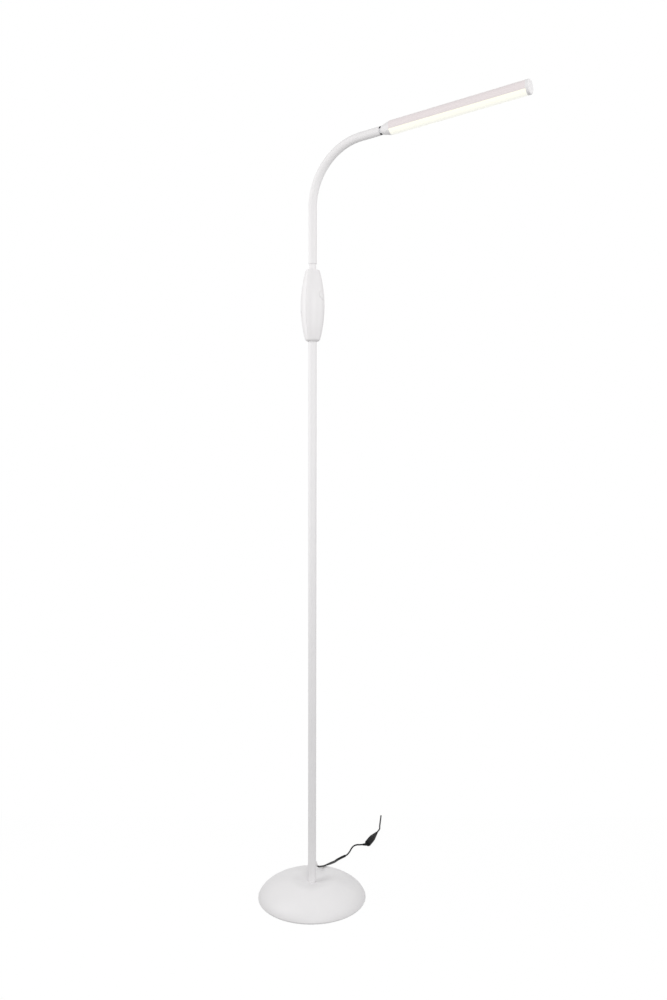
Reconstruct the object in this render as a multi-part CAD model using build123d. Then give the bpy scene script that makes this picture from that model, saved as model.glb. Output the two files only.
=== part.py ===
from build123d import *
import math
import os

# A slim reading floor lamp: a weighted dome, a thin pole, a spindle-shaped switch box,
# a gooseneck of ball-ended links and a tubular light head, with its lead and mains adapter.
# Millimetres, +Z up. The origin is on the floor under the pole, and the head points to +X.

# Fits between pieces
press_gap = 0.05
slip_gap = 0.15
seam_gap = 0.2
joint_gap = 0.3

# Base
base_radius = 86.2
cover_wall = 3.2
dome_height = 34.0
dome_sink = 2.4
rim_above_floor = 0.3
rim_round_share = 0.7
dimple_radius = 40.0
dimple_floor = 26.0
dimple_slope_at_pole = 0.1
crown_thickness = 2.2
pad_thickness = 2.0
pad_inset = 5.0
plate_thickness = 2.0
plate_screw_circle_radius = 55.0
plate_screw_count = 3
plate_screw_start_angle = 30.0
plate_screw_radius = 2.0
plate_screw_head_radius = 3.8
plate_screw_length = 12.0

# Bolt that holds the pole in the ballast
bolt_radius = 4.0
bolt_head_across_flats = 13.0
bolt_head_height = 5.3
bolt_grip = 18.0
washer_radius = 8.0
washer_thickness = 1.6
bolt_recess = 8.0
ballast_web = 3.0

# Pole
pole_radius = 6.35
pole_wall = 1.0
pole_joint_height = 455.0
pole_inside_box = 29.5
joiner_length = 60.0
joiner_wall = 2.0
foot_insert_length = 23.0

# Grommet where the lead leaves the pole
grommet_height = 54.0
grommet_slope = 45.0
grommet_sleeve_radius = 2.6
grommet_sleeve_inside = 3.0
grommet_boot_radius = 4.2
grommet_tip_radius = 2.0
grommet_boot_length = 10.0

# Switch box, with the heights on it from its own bottom or waist
box_bottom = 878.5
box_length = 108.0
box_waist_rise = 53.5
box_radius = 18.3
box_bottom_radius = 10.8
box_top_radius = 10.7
box_bottom_round = 5.0
box_top_round = 0.8
box_wall = 2.0
box_screw_offset = 12.0
box_screw_below_waist = 10.0
box_screw_radius = 1.4
box_screw_head_radius = 2.5
box_screw_head_height = 2.0
box_screw_length = 17.0
box_boss_radius = 3.2
box_screw_seat = 8.6
spine_radius = 8.1
spine_passage_radius = 2.6
spine_flat = 7.2

# Dimmer board, switch and button
board_thickness = 1.6
board_width = 17.0
board_length = 46.0
board_above_waist = 8.0
button_above_waist = 16.0
button_radius = 6.5
button_proud = 0.5
button_flange = 1.4
button_back = 12.6
button_travel = 1.0
driver_margin = 3.0
driver_spacing = 1.5
driver_coil_size = (3.0, 5.5, 5.5)
driver_chip_size = (1.5, 5.0, 4.0)
capacitor_size = (1.2, 3.2, 1.6)
capacitor_offset = 4.0
switch_size = 6.0
switch_thickness = 2.3
plunger_radius = 1.6
plunger_inside = 1.0

# Gooseneck
ferrule_radius = 5.2
ferrule_depth = 26.0
ferrule_stand = 9.5
neck_radius = 6.35
neck_bore = 2.8
neck_straight_length = 85.3
neck_bend_radius = 90.9
neck_turn = 85.56
neck_tail_length = 33.3
neck_link_count = 9

# Swivel between neck and head
swivel_ring_radius = 5.3
swivel_ring_length = 3.0
swivel_ring_round = 0.5
swivel_spindle_radius = 2.65
swivel_spindle_bore = 1.4
swivel_spindle_inside = 8.0
swivel_bush_length = 6.0
swivel_clip_radius = 4.4
swivel_clip_thickness = 1.0

# Light head
head_radius = 10.05
head_wall = 1.4
head_cone_length = 14.2
head_cone_round = 0.5
head_tube_length = 204.0
head_cap_length = 5.0
head_cap_round = 1.6
head_plug_depth = 5.0
head_plug_wall = 2.0
diffuser_half_angle = 65.5
diffuser_lip_angle = 8.0
diffuser_lip_thickness = 1.2
carrier_underside = 2.2
led_strip_width = 10.0
led_strip_thickness = 1.0
led_count = 18
led_length = 3.5
led_width = 2.8
led_height = 0.7

# Lead, connector and adapter
lead_radius = 1.3
corner_share = 0.45
lead_rest = 1.35
pole_wire_bend = 5.2
grommet_leave_run = 5.0
socket_radius = 5.7
socket_length = 20.0
socket_round = 1.2
socket_relief_length = 9.0
socket_relief_radius = 2.9
socket_relief_drop = 1.6
socket_relief_heading = (0.92, 0.38, 0.15)
socket_entry_run = 5.0
connector_start = (-14.1, 204.2)
connector_heading = (-0.168, 0.986)
plug_grip_radius = 5.5
plug_grip_length = 30.0
plug_end_radius = 1.9
plug_band_length = 5.0
plug_leave_run = 8.0
barrel_radius = 2.75
barrel_bore = 1.25
barrel_length = 9.5
coil_inner_radius = 9.6
coil_pitch = 3.5
coil_turns_in_outer_layers = 3.0
coil_turns_in_inner_layers = 3.25
coil_start = (-75.0, 366.0)
coil_heading = (-0.48, 0.877)
coil_entry_run = 8.0
biarcs_per_turn = 4
coil_heading_step = 0.02
coil_climb_turns = 0.5
coil_gap_points = 1400
tie_thickness = 0.8
tie_width = 4.0
tie_gap = 0.4
adapter_length = 66.0
adapter_width = 42.0
adapter_thickness = 28.0
adapter_wall = 2.0
adapter_corner = 4.0
adapter_edge_round = 1.5
adapter_relief_length = 14.0
adapter_relief_radius = 3.4
adapter_tail_run = 28.0
adapter_tail_straight_share = 0.28
adapter_pin_radius = 2.0
adapter_pin_length = 19.0
adapter_pin_spacing = 19.0
adapter_pin_root = 6.0
adapter_pin_root_radius = 1.8

# Sizes that follow from those above
plate_top = pad_thickness + plate_thickness
dome_axis = dome_height + dome_sink
dome_reach = base_radius / math.sqrt(1 - (dome_sink / dome_axis) ** 2)
crown_underside = dimple_floor - crown_thickness
ballast_top = crown_underside - slip_gap
bolt_seat = plate_top + bolt_recess
pole_foot = bolt_seat + ballast_web
pole_bore = pole_radius - pole_wall
pole_top = box_bottom + pole_inside_box
box_top = box_bottom + box_length
box_waist = box_bottom + box_waist_rise
box_screw_height = box_waist - box_screw_below_waist
board_middle = box_waist + board_above_waist
board_foot = board_middle - board_length / 2
button_height = box_waist + button_above_waist
neck_foot = box_top + ferrule_stand
neck_arc = math.radians(neck_turn) * neck_bend_radius
neck_length = neck_straight_length + neck_arc + neck_tail_length
neck_pitch = neck_length / neck_link_count
head_inner = head_radius - head_wall
cone_start = swivel_ring_length + joint_gap
tube_start = cone_start + head_cone_length
tube_end = tube_start + head_tube_length

low = (Align.CENTER, Align.CENTER, Align.MIN)


def rod(radius, start, end):
    """Upright cylinder on the Z axis between two heights."""
    return Pos(0, 0, start) * Cylinder(radius, end - start, align=low)


def pipe(radius, bore, start, end):
    """Upright tube on the Z axis between two heights."""
    return rod(radius, start, end) - rod(bore, start, end)


def cross_rod(radius, start, end, y, z):
    """Cylinder along X between two places."""
    return Plane(origin=(start, y, z), z_dir=(1, 0, 0)) * Cylinder(radius, end - start, align=low)


def block(corner, size):
    """Box from its lowest corner and its three sizes."""
    return Pos(*corner) * Box(*size, align=(Align.MIN, Align.MIN, Align.MIN))


def spun(*outline):
    """Solid turned about the Z axis from a closed outline in radius and height."""
    return revolve(Plane.XZ * make_face(outline), Axis.Z)


def circles(solid, radius, height):
    """Circular edges of a solid with a given radius at a given height."""
    found = solid.edges().filter_by(GeomType.CIRCLE)
    return [edge for edge in found
            if abs(edge.radius - radius) < 1e-3 and abs(edge.center().Z - height) < 1e-3]


def unit(*values):
    """Direction of length one."""
    return Vector(*values).normalized()


# Base

def dome_radius_at(height, inset):
    """Radius of the dome, drawn in by an inset, at a height."""
    share = (height + dome_sink) / (dome_axis - inset)
    return (dome_reach - inset) * math.sqrt(1 - share ** 2)


def dome_height_at(radius):
    """Height of the dome's outside at a radius."""
    return dome_axis * math.sqrt(1 - (radius / dome_reach) ** 2) - dome_sink


def dome_slope_at(radius):
    """Fall of the dome's outside, for each millimetre outwards, at a radius."""
    return dome_axis * radius / (dome_reach * math.sqrt(dome_reach ** 2 - radius ** 2))


def dome_curve(inset, start_height, end_radius):
    """Arc of the dome's ellipse, drawn in by an inset, from a height up to a radius."""
    across = dome_reach - inset
    up = dome_axis - inset
    start = math.degrees(math.asin((start_height + dome_sink) / up))
    end = math.degrees(math.acos(end_radius / across))
    return EllipticalCenterArc((0, -dome_sink), across, up, start_angle=start, arc_size=end - start)


def base_cover():
    inside = dome_radius_at(rim_above_floor, cover_wall)
    outside = dome_radius_at(rim_above_floor, 0)
    hole = pole_radius + slip_gap
    lip_height = dome_height_at(dimple_radius)
    crown = dome_radius_at(crown_underside, cover_wall)
    dimple_tangents = [(-1, dome_slope_at(dimple_radius)), (-1, -dimple_slope_at_pole)]
    solid = spun(
        Line((inside, rim_above_floor), (outside, rim_above_floor)),
        dome_curve(0, rim_above_floor, dimple_radius),
        Spline((dimple_radius, lip_height), (hole, dimple_floor), tangents=dimple_tangents),
        Line((hole, dimple_floor), (hole, crown_underside)),
        Line((hole, crown_underside), (crown, crown_underside)),
        dome_curve(cover_wall, rim_above_floor, crown),
    )
    return fillet(circles(solid, outside, rim_above_floor), cover_wall * rim_round_share)


def base_screw_places():
    return PolarLocations(
        plate_screw_circle_radius, plate_screw_count, start_angle=plate_screw_start_angle)


def base_screw_shape(gap):
    """Countersunk screw, or the hole for it when a gap is given."""
    head_depth = plate_screw_head_radius - plate_screw_radius
    head = Cone(plate_screw_head_radius + gap, plate_screw_radius + gap, head_depth, align=low)
    return head + rod(plate_screw_radius + gap, 0, plate_screw_length + gap)


def base_screws(gap=0.0):
    return [place * Pos(0, 0, pad_thickness) * base_screw_shape(gap) for place in base_screw_places()]


def base_plate():
    solid = rod(dome_radius_at(plate_top, cover_wall) - slip_gap, pad_thickness, plate_top)
    solid -= rod(washer_radius + slip_gap, pad_thickness, plate_top)
    return solid - base_screws(press_gap)


def base_ballast():
    inset = cover_wall + slip_gap
    top = dome_radius_at(ballast_top, inset)
    solid = spun(
        Line((0, plate_top), (dome_radius_at(plate_top, inset), plate_top)),
        dome_curve(inset, plate_top, top),
        Line((top, ballast_top), (0, ballast_top)),
        Line((0, ballast_top), (0, plate_top)),
    )
    solid -= rod(washer_radius + slip_gap, plate_top, bolt_seat)
    solid -= rod(bolt_radius + slip_gap, bolt_seat, pole_foot)
    solid -= rod(pole_radius + slip_gap, pole_foot, ballast_top)
    return solid - base_screws(press_gap)


def pole_bolt():
    head_top = bolt_seat - washer_thickness
    hexagon = RegularPolygon(bolt_head_across_flats / 2, 6, major_radius=False)
    head = Pos(0, 0, head_top - bolt_head_height) * extrude(hexagon, bolt_head_height)
    return head + rod(bolt_radius, head_top, pole_foot + bolt_grip)


# Pole

grommet_lean = math.radians(grommet_slope)
grommet_direction = Vector(0, math.cos(grommet_lean), -math.sin(grommet_lean))
grommet_seat = Vector(0, pole_radius, grommet_height)
grommet_tip = grommet_seat + grommet_direction * grommet_boot_length
grommet_plane = Plane(origin=grommet_seat, x_dir=(1, 0, 0), z_dir=grommet_direction)


def pole_lower():
    tube = pipe(pole_radius, pole_bore, pole_foot, pole_joint_height)
    return tube - grommet_plane * rod(grommet_sleeve_radius + press_gap, -pole_radius, pole_radius)


def pole_foot_insert():
    plug = rod(pole_bore - press_gap, pole_foot, pole_foot + foot_insert_length)
    return plug - rod(bolt_radius + press_gap, pole_foot, pole_foot + bolt_grip + slip_gap)


def pole_joiner():
    start = pole_joint_height - joiner_length / 2
    radius = pole_bore - press_gap
    return pipe(radius, radius - joiner_wall, start, start + joiner_length)


def cord_grommet():
    inner = grommet_sleeve_radius / math.tan(grommet_lean) + pole_wall
    boot = grommet_plane * Pos(0, 0, -inner) * Cone(
        grommet_boot_radius, grommet_tip_radius, inner + grommet_boot_length, align=low)
    reach = inner + grommet_boot_length
    boot -= rod(pole_radius + press_gap, grommet_height - reach, grommet_height + reach)
    sleeve_start = -inner - grommet_sleeve_inside
    sleeve = grommet_plane * rod(grommet_sleeve_radius, sleeve_start, grommet_boot_length / 2)
    bore = grommet_plane * rod(lead_radius + press_gap, sleeve_start, grommet_boot_length)
    return boot + sleeve - bore


def pole_wire():
    """The lead from the grommet's tip up the pole and out through the spine to the board."""
    bend = grommet_seat - grommet_direction * (pole_radius / math.cos(grommet_lean))
    turn_out = board_foot - 2 * spine_radius
    points = [grommet_tip, bend, (0, 0, turn_out), (spine_flat - lead_radius, 0, board_foot)]
    path = FilletPolyline(*points, radius=[pole_wire_bend, pole_wire_bend])
    return swept(path, lead_radius)


# Switch box

def box_form(inset):
    """Spindle of the switch box, drawn in on all sides by an inset."""
    bottom = box_bottom + inset
    top = box_top - inset
    waist = (box_radius - inset, box_waist)
    low_edge = (box_bottom_radius - inset, bottom)
    top_edge = (box_top_radius - inset, top)
    solid = spun(
        Line((0, bottom), low_edge),
        TangentArc(waist, low_edge, tangent=(0, -1)),
        TangentArc(waist, top_edge, tangent=(0, 1)),
        Line(top_edge, (0, top)),
        Line((0, top), (0, bottom)),
    )
    solid = fillet(circles(solid, low_edge[0], bottom), box_bottom_round - inset)
    if inset < box_top_round:
        solid = fillet(circles(solid, top_edge[0], top), box_top_round - inset)
    return solid


def box_shell():
    shell = box_form(0) - box_form(box_wall)
    shell -= rod(pole_radius + slip_gap, box_bottom - box_wall, box_bottom + 2 * box_wall)
    return shell - rod(ferrule_radius + slip_gap, box_top - 2 * box_wall, box_top + box_wall)


def half_of(solid, side):
    """The half of a box-sized solid on one side of the seam, 1 for front and -1 for rear."""
    reach = 2 * box_radius
    low_x = seam_gap / 2 if side > 0 else -seam_gap / 2 - reach
    corner = (low_x, -reach, box_bottom - reach)
    return solid & block(corner, (reach, 2 * reach, box_length + 2 * reach))


def box_bosses(side):
    """Posts inside a half shell that take the two screws."""
    posts = [cross_rod(box_boss_radius, -box_radius, box_radius, y, box_screw_height)
             for y in (-box_screw_offset, box_screw_offset)]
    return [half_of(post & box_form(box_wall / 2), side) for post in posts]


def box_screw_holes(gap, seat_depth):
    """The two box screws, or the holes for them when a gap and a deeper seat are given."""
    solids = []
    for y in (-box_screw_offset, box_screw_offset):
        shank = cross_rod(box_screw_radius + gap, -box_screw_seat, box_screw_length - box_screw_seat + gap,
                          y, box_screw_height)
        head = cross_rod(box_screw_head_radius + gap, -box_screw_seat - seat_depth, -box_screw_seat,
                         y, box_screw_height)
        solids.append(shank + head)
    return solids


def box_front_shell():
    shell = half_of(box_shell(), 1) + box_bosses(1)
    shell -= box_screw_holes(press_gap, box_screw_head_height)
    return shell - cross_rod(button_radius + slip_gap, 0, 2 * box_radius, 0, button_height)


def box_rear_shell():
    shell = half_of(box_shell(), -1) + box_bosses(-1)
    return shell - box_screw_holes(slip_gap, box_radius)


def box_spine():
    start = box_bottom + box_wall + slip_gap
    end = box_top - box_wall - slip_gap
    socket_end = box_top - ferrule_depth
    flat_start = board_foot - spine_radius
    flat_length = board_length + spine_radius
    solid = rod(spine_radius, start, end) & box_form(box_wall + slip_gap)
    solid -= rod(pole_radius + slip_gap, start, pole_top + slip_gap)
    solid -= rod(spine_passage_radius, start, end)
    solid -= rod(ferrule_radius + press_gap, socket_end, end)
    solid -= block((spine_flat, -spine_radius, flat_start), (spine_radius, 2 * spine_radius, flat_length))
    slot_end = board_foot + spine_radius
    wire_slot = (spine_radius, 2 * spine_passage_radius, slot_end - pole_top)
    return solid - block((0, -spine_passage_radius, pole_top), wire_slot)


def control_board():
    return block((spine_flat, -board_width / 2, board_foot),
                 (board_thickness, board_width, board_length))


board_face = spine_flat + board_thickness


def board_components():
    """Driver coil, driver chip and two capacitors on the outer face of the board."""
    first_row = board_foot + driver_margin
    second_row = first_row + driver_coil_size[2] + driver_margin
    coil = block((board_face, -driver_spacing / 2 - driver_coil_size[1], first_row), driver_coil_size)
    chip = block((board_face, driver_spacing / 2, first_row), driver_chip_size)
    capacitors = [block((board_face, y - capacitor_size[1] / 2, second_row), capacitor_size)
                  for y in (-capacitor_offset, capacitor_offset)]
    return [coil, chip] + capacitors


def switch_body():
    body = block((board_face, -switch_size / 2, button_height - switch_size / 2),
                 (switch_thickness, switch_size, switch_size))
    hole_start = board_face + switch_thickness - plunger_inside - button_travel - slip_gap
    return body - cross_rod(plunger_radius + slip_gap, hole_start, button_back, 0, button_height)


def switch_plunger():
    start = board_face + switch_thickness - plunger_inside
    return cross_rod(plunger_radius, start, button_back, 0, button_height)


def touch_button():
    reach = 2 * box_radius
    cap = cross_rod(button_radius, button_back, reach, 0, button_height) & box_form(-button_proud)
    flange = cross_rod(button_radius + button_flange, button_back, reach, 0, button_height)
    return cap + (flange & box_form(box_wall + slip_gap))


# Gooseneck

def neck_lean(run):
    """Angle of the neck from upright, in radians, at a run along it."""
    return min(max(run - neck_straight_length, 0), neck_arc) / neck_bend_radius


def neck_heading(run):
    lean = neck_lean(run)
    return Vector(math.sin(lean), 0, math.cos(lean))


def neck_point(run):
    lean = neck_lean(run)
    rise = min(run, neck_straight_length)
    out = neck_bend_radius * (1 - math.cos(lean))
    up = neck_foot + rise + neck_bend_radius * math.sin(lean)
    return Vector(out, 0, up) + neck_heading(run) * max(run - neck_straight_length - neck_arc, 0)


def neck_path(start, end):
    """The neck's centre line between two runs: straight, arc and straight."""
    bend_end = neck_straight_length + neck_arc
    between = [stop for stop in (neck_straight_length, bend_end) if start < stop < end]
    stops = [start] + between + [end]
    edges = []
    for first, last in zip(stops, stops[1:]):
        middle = (first + last) / 2
        if neck_straight_length < middle < bend_end:
            edges.append(ThreePointArc(neck_point(first), neck_point(middle), neck_point(last)))
        else:
            edges.append(Line(neck_point(first), neck_point(last)))
    return Wire(edges)


def swept(path, radius):
    """Round bar along a path."""
    return sweep(Plane(origin=path @ 0, z_dir=path % 0) * Circle(radius), path=path)


def neck_link(number):
    """One link: a cup below, a ball above, and a bore for the wire. The ends of the chain are flat."""
    start = (number - 1) * neck_pitch
    end = number * neck_pitch
    solid = swept(neck_path(start, end), neck_radius)
    if number < neck_link_count:
        ball = Sphere(neck_radius, arc_size1=0, arc_size2=90, align=None)
        solid += Plane(origin=neck_point(end), x_dir=(0, 1, 0), z_dir=neck_heading(end)) * ball
    if number > 1:
        solid -= Pos(*neck_point(start)) * Sphere(neck_radius + joint_gap)
    bore_end = min(end + 2 * neck_radius, neck_length)
    return solid - swept(neck_path(start, bore_end), neck_bore)


def neck_ferrule():
    return pipe(ferrule_radius, neck_bore, box_top - ferrule_depth, neck_foot)


# Light head, along its own axis: local Z runs along the head and local X points down

head_axis = neck_heading(neck_length)
head_plane = Plane(origin=neck_point(neck_length), x_dir=Vector(0, 1, 0).cross(head_axis), z_dir=head_axis)


def sector(inner, outer, start, end):
    """Flat ring sector between two angles from straight down."""
    inside = CenterArc((0, 0), inner, start, end - start)
    outside = CenterArc((0, 0), outer, start, end - start)
    return make_face([inside, outside, Line(inside @ 0, outside @ 0), Line(inside @ 1, outside @ 1)])


def head_bar(face, start, end):
    return Pos(0, 0, start) * extrude(face, end - start)


def swivel_ring():
    ring = pipe(swivel_ring_radius, swivel_spindle_radius + press_gap, 0, swivel_ring_length)
    rims = circles(ring, swivel_ring_radius, 0) + circles(ring, swivel_ring_radius, swivel_ring_length)
    return fillet(rims, swivel_ring_round)


def swivel_clip_start():
    return cone_start + swivel_bush_length + joint_gap


def swivel_spindle():
    end = swivel_clip_start() + 2 * swivel_clip_thickness
    return pipe(swivel_spindle_radius, swivel_spindle_bore, -swivel_spindle_inside, end)


def swivel_clip():
    start = swivel_clip_start()
    ring = pipe(swivel_clip_radius, swivel_spindle_radius + press_gap, start, start + swivel_clip_thickness)
    mouth = (swivel_clip_radius + slip_gap, 2 * swivel_spindle_bore, swivel_clip_thickness)
    return ring - block((0, -swivel_spindle_bore, start), mouth)


def head_cone():
    hollow = head_inner - slip_gap - head_plug_wall
    bush_end = cone_start + swivel_bush_length
    solid = Pos(0, 0, cone_start) * Cone(neck_radius, head_radius, head_cone_length, align=low)
    solid = fillet(circles(solid, neck_radius, cone_start), head_cone_round)
    solid += rod(head_inner - slip_gap, tube_start, tube_start + head_plug_depth)
    solid -= rod(swivel_spindle_radius + joint_gap, cone_start, bush_end)
    clearance = swivel_clip_radius + joint_gap
    flare = Pos(0, 0, bush_end) * Cone(clearance, hollow, tube_start - bush_end, align=low)
    return solid - flare - rod(hollow, tube_start, tube_start + head_plug_depth)


def head_housing():
    return head_bar(sector(head_inner, head_radius, diffuser_half_angle, 360 - diffuser_half_angle),
                    tube_start, tube_end)


def diffuser():
    edge = diffuser_half_angle - math.degrees(press_gap / head_radius)
    lip_outside = head_inner - slip_gap
    lip_inside = lip_outside - diffuser_lip_thickness
    lip_start = tube_start + head_plug_depth + slip_gap
    lip_end = tube_end - head_plug_depth - slip_gap
    solid = head_bar(sector(head_inner, head_radius, -edge, edge), tube_start, tube_end)
    for side in (1, -1):
        root = sorted((side * (edge - diffuser_lip_angle), side * edge))
        hook = sorted((side * (edge - diffuser_lip_angle), side * (edge + diffuser_lip_angle)))
        solid += head_bar(sector(lip_inside, head_inner, *root), lip_start, lip_end)
        solid += head_bar(sector(lip_inside, lip_outside, *hook), lip_start, lip_end)
    return solid


carrier_start = tube_start + head_plug_depth + slip_gap
carrier_end = tube_end - head_plug_depth - slip_gap


def led_carrier():
    radius = head_inner - press_gap
    above = Rectangle(radius, 2 * radius, align=(Align.MAX, Align.CENTER))
    return head_bar(Circle(radius) & Pos(-carrier_underside, 0) * above, carrier_start, carrier_end)


def led_strip():
    corner = (-carrier_underside, -led_strip_width / 2, carrier_start)
    return block(corner, (led_strip_thickness, led_strip_width, carrier_end - carrier_start))


def led_chips():
    step = (carrier_end - carrier_start) / led_count
    face = led_strip_thickness - carrier_underside
    return [block((face, -led_width / 2, carrier_start + (index + 0.5) * step - led_length / 2),
                  (led_height, led_width, led_length)) for index in range(led_count)]


def end_cap():
    hollow = head_inner - slip_gap - head_plug_wall
    cap = rod(head_radius, tube_end, tube_end + head_cap_length)
    cap = fillet(circles(cap, head_radius, tube_end + head_cap_length), head_cap_round)
    plug = pipe(head_inner - slip_gap, hollow, tube_end - head_plug_depth, tube_end)
    return cap + plug


# Lead and adapter

def cord_tube(name, points):
    """A lead's free stretch: straight runs joined by arcs as large as the runs allow."""
    points = [Vector(*point) for point in points]
    radii = []
    for before, here, after in zip(points, points[1:], points[2:]):
        turn = math.radians((here - before).get_angle(after - here))
        shorter = min((here - before).length, (after - here).length)
        radii.append(corner_share * shorter / math.tan(turn / 2))
    path = FilletPolyline(*points, radius=radii)
    tube = swept(path, lead_radius)
    share = tube.volume / (math.pi * lead_radius ** 2 * path.length)
    print(name, "length", round(path.length, 1), "volume share", round(share, 4),
          "radii", [round(radius, 1) for radius in radii])
    return tube


connector_axis = unit(*connector_heading, 0)
connector_foot = Vector(*connector_start, socket_radius + slip_gap)
connector_plane = Plane(origin=connector_foot, z_dir=connector_axis)
relief_axis = unit(*socket_relief_heading)
relief_root = connector_foot + connector_axis * socket_round - Vector(0, 0, socket_relief_drop)
relief_foot = relief_root - relief_axis * socket_relief_length
grip_start = socket_length + slip_gap
plug_end = grip_start + plug_grip_length
plug_tip = connector_foot + connector_axis * plug_end


def lamp_lead():
    leave = grommet_tip + grommet_direction * grommet_leave_run
    enter = relief_foot - relief_axis * socket_entry_run
    return cord_tube("lamp_lead", [
        grommet_tip, leave, (-3.2, 27.0, 37.6), (-6.6, 37.5, 33.4), (-7.8, 48.0, 30.6), (-10.6, 62.0, 25.4),
        (-15.2, 77.0, 19.6), (-21.6, 96.0, 12.0), (-28.0, 114.0, 4.8), (-31.4, 129.0, lead_rest),
        (-30.0, 143.0, lead_rest), (-26.8, 154.0, lead_rest), (-29.8, 168.0, lead_rest),
        (-34.2, 182.0, lead_rest), (-35.6, 192.0, lead_rest), (-33.4, 198.6, lead_rest), enter, relief_foot])


def dc_socket():
    """Body of the in-line socket, with a strain relief that meets its end at an angle."""
    body = fillet(circles(rod(socket_radius, 0, socket_length), socket_radius, 0), socket_round)
    hole = rod(barrel_radius + slip_gap, socket_length - barrel_length - slip_gap, socket_length)
    relief = Plane(origin=relief_foot, z_dir=relief_axis) * Cone(
        lead_radius + press_gap, socket_relief_radius, socket_relief_length, align=low)
    return connector_plane * (body - hole) + relief


def dc_plug():
    """Grip of the plug: a short band, then a long taper to the lead."""
    taper_start = grip_start + plug_band_length
    grip = rod(plug_grip_radius, grip_start, taper_start)
    taper = Pos(0, 0, taper_start) * Cone(
        plug_grip_radius, plug_end_radius, plug_end - taper_start, align=low)
    return connector_plane * (grip + taper)


def dc_barrel():
    return connector_plane * pipe(barrel_radius, barrel_bore, grip_start - barrel_length, grip_start)


coil_axis = unit(*coil_heading, 0)
coil_outer_radius = coil_inner_radius + coil_turns_in_outer_layers * coil_pitch
coil_right = Vector(coil_axis.Y, -coil_axis.X, 0)
coil_layer_height = tie_thickness + slip_gap + lead_radius
coil_first = Vector(*coil_start, coil_layer_height)
coil_middle = Vector(*coil_start, 0) + coil_right * coil_outer_radius


def coil_stages():
    """Turns and changes of radius and height of each stage of the coil: in, out, in and out again."""
    outer = coil_turns_in_outer_layers
    inner = coil_turns_in_inner_layers
    climb = (coil_climb_turns, 0, coil_pitch)
    return [(outer, -outer * coil_pitch, 0), climb, (inner, inner * coil_pitch, 0), climb,
            (inner, -inner * coil_pitch, 0), climb, (outer, outer * coil_pitch, 0)]


coil_rise = sum(stage[2] for stage in coil_stages())
coil_total_turns = sum(stage[0] for stage in coil_stages())


def coil_place(turns):
    """Point of the coil's centre line after a number of turns."""
    radius = coil_outer_radius
    height = coil_layer_height
    left = turns
    for span, outward, upward in coil_stages():
        share = min(max(left / span, 0), 1)
        eased = share * share * (3 - 2 * share)
        radius += outward * share
        height += upward * eased
        left -= span
    angle = 2 * math.pi * turns
    across = coil_right * (-radius * math.cos(angle)) + coil_axis * (radius * math.sin(angle))
    return Vector(coil_middle.X, coil_middle.Y, height) + across


def coil_direction(turns):
    """Heading of the coil's centre line, level where a layer starts and ends."""
    ahead = coil_place(turns + coil_heading_step) - coil_place(turns - coil_heading_step)
    return ahead.normalized()


def biarc(start, start_heading, end, end_heading):
    """Two arcs that join two points with given headings smoothly."""
    span = end - start
    both = start_heading + end_heading
    spread = 2 * (1 - start_heading.dot(end_heading))
    lean = span.dot(both)
    reach = (math.sqrt(lean ** 2 + spread * span.dot(span)) - lean) / spread
    first_corner = start + start_heading * reach
    last_corner = end - end_heading * reach
    meet = (first_corner + last_corner) * 0.5
    return [TangentArc(start, meet, tangent=start_heading),
            TangentArc(meet, end, tangent=last_corner - first_corner)]


def coil_path():
    stops = [index / biarcs_per_turn for index in range(round(biarcs_per_turn * coil_total_turns) + 1)]
    places = [coil_place(stop) for stop in stops]
    headings = [coil_direction(stop) for stop in stops]
    headings[0] = coil_axis
    headings[-1] = coil_axis
    edges = [Line(places[0] - coil_axis * 2 * lead_radius, places[0])]
    for index in range(len(stops) - 1):
        edges += biarc(places[index], headings[index], places[index + 1], headings[index + 1])
    edges.append(Line(places[-1], places[-1] + coil_axis * 2 * lead_radius))
    return Wire(edges)


def coil_least_gap(path):
    """Least gap between two stretches of the coil that are over half a turn apart, on points."""
    points = [path @ (index / coil_gap_points) for index in range(coil_gap_points + 1)]
    apart = round(coil_gap_points * math.pi * coil_inner_radius / path.length)
    least = min((points[i] - points[j]).length
                for i in range(0, len(points), 2) for j in range(i + apart, len(points)))
    return least - 2 * lead_radius


def adapter_coil():
    path = coil_path()
    tube = swept(path, lead_radius)
    share = tube.volume / (math.pi * lead_radius ** 2 * path.length)
    print("adapter_coil length", round(path.length, 1), "volume share", round(share, 4),
          "least gap", round(coil_least_gap(path), 2))
    return tube


def coil_tie():
    """Flat loop round the bundle, on the side away from the lead's ends."""
    inner = coil_inner_radius - lead_radius - tie_gap
    outer = coil_outer_radius + coil_pitch / 2 + lead_radius + tie_gap
    top = coil_layer_height + coil_rise + lead_radius + tie_gap
    size = (outer - inner, tie_width, top - tie_thickness)
    hole = block((inner, -tie_width / 2, tie_thickness), size)
    loop = block((inner - tie_thickness, -tie_width / 2, 0),
                 (size[0] + 2 * tie_thickness, tie_width, top + tie_thickness))
    return Plane(origin=coil_middle, x_dir=coil_right, z_dir=(0, 0, 1)) * (loop - hole)


def adapter_lead():
    leave = plug_tip + connector_axis * plug_leave_run
    arrive = coil_first - coil_axis * 2 * lead_radius
    return cord_tube("adapter_lead", [
        plug_tip, leave, (-28.4, 277.0, 2.6), (-34.2, 288.5, lead_rest), (-41.4, 302.0, lead_rest),
        (-49.6, 317.0, lead_rest), (-56.8, 332.0, lead_rest), (-65.6, 348.0, 1.6),
        arrive - coil_axis * coil_entry_run, arrive])


coil_last = coil_first + Vector(0, 0, coil_rise)
tail_start = coil_last + coil_axis * 2 * lead_radius
relief_start = Vector(tail_start.X, tail_start.Y, adapter_thickness / 2) + coil_axis * adapter_tail_run
adapter_foot = Vector(relief_start.X, relief_start.Y, 0) + coil_axis * adapter_relief_length
adapter_plane = Plane(origin=adapter_foot, x_dir=coil_axis, z_dir=(0, 0, 1))


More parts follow.
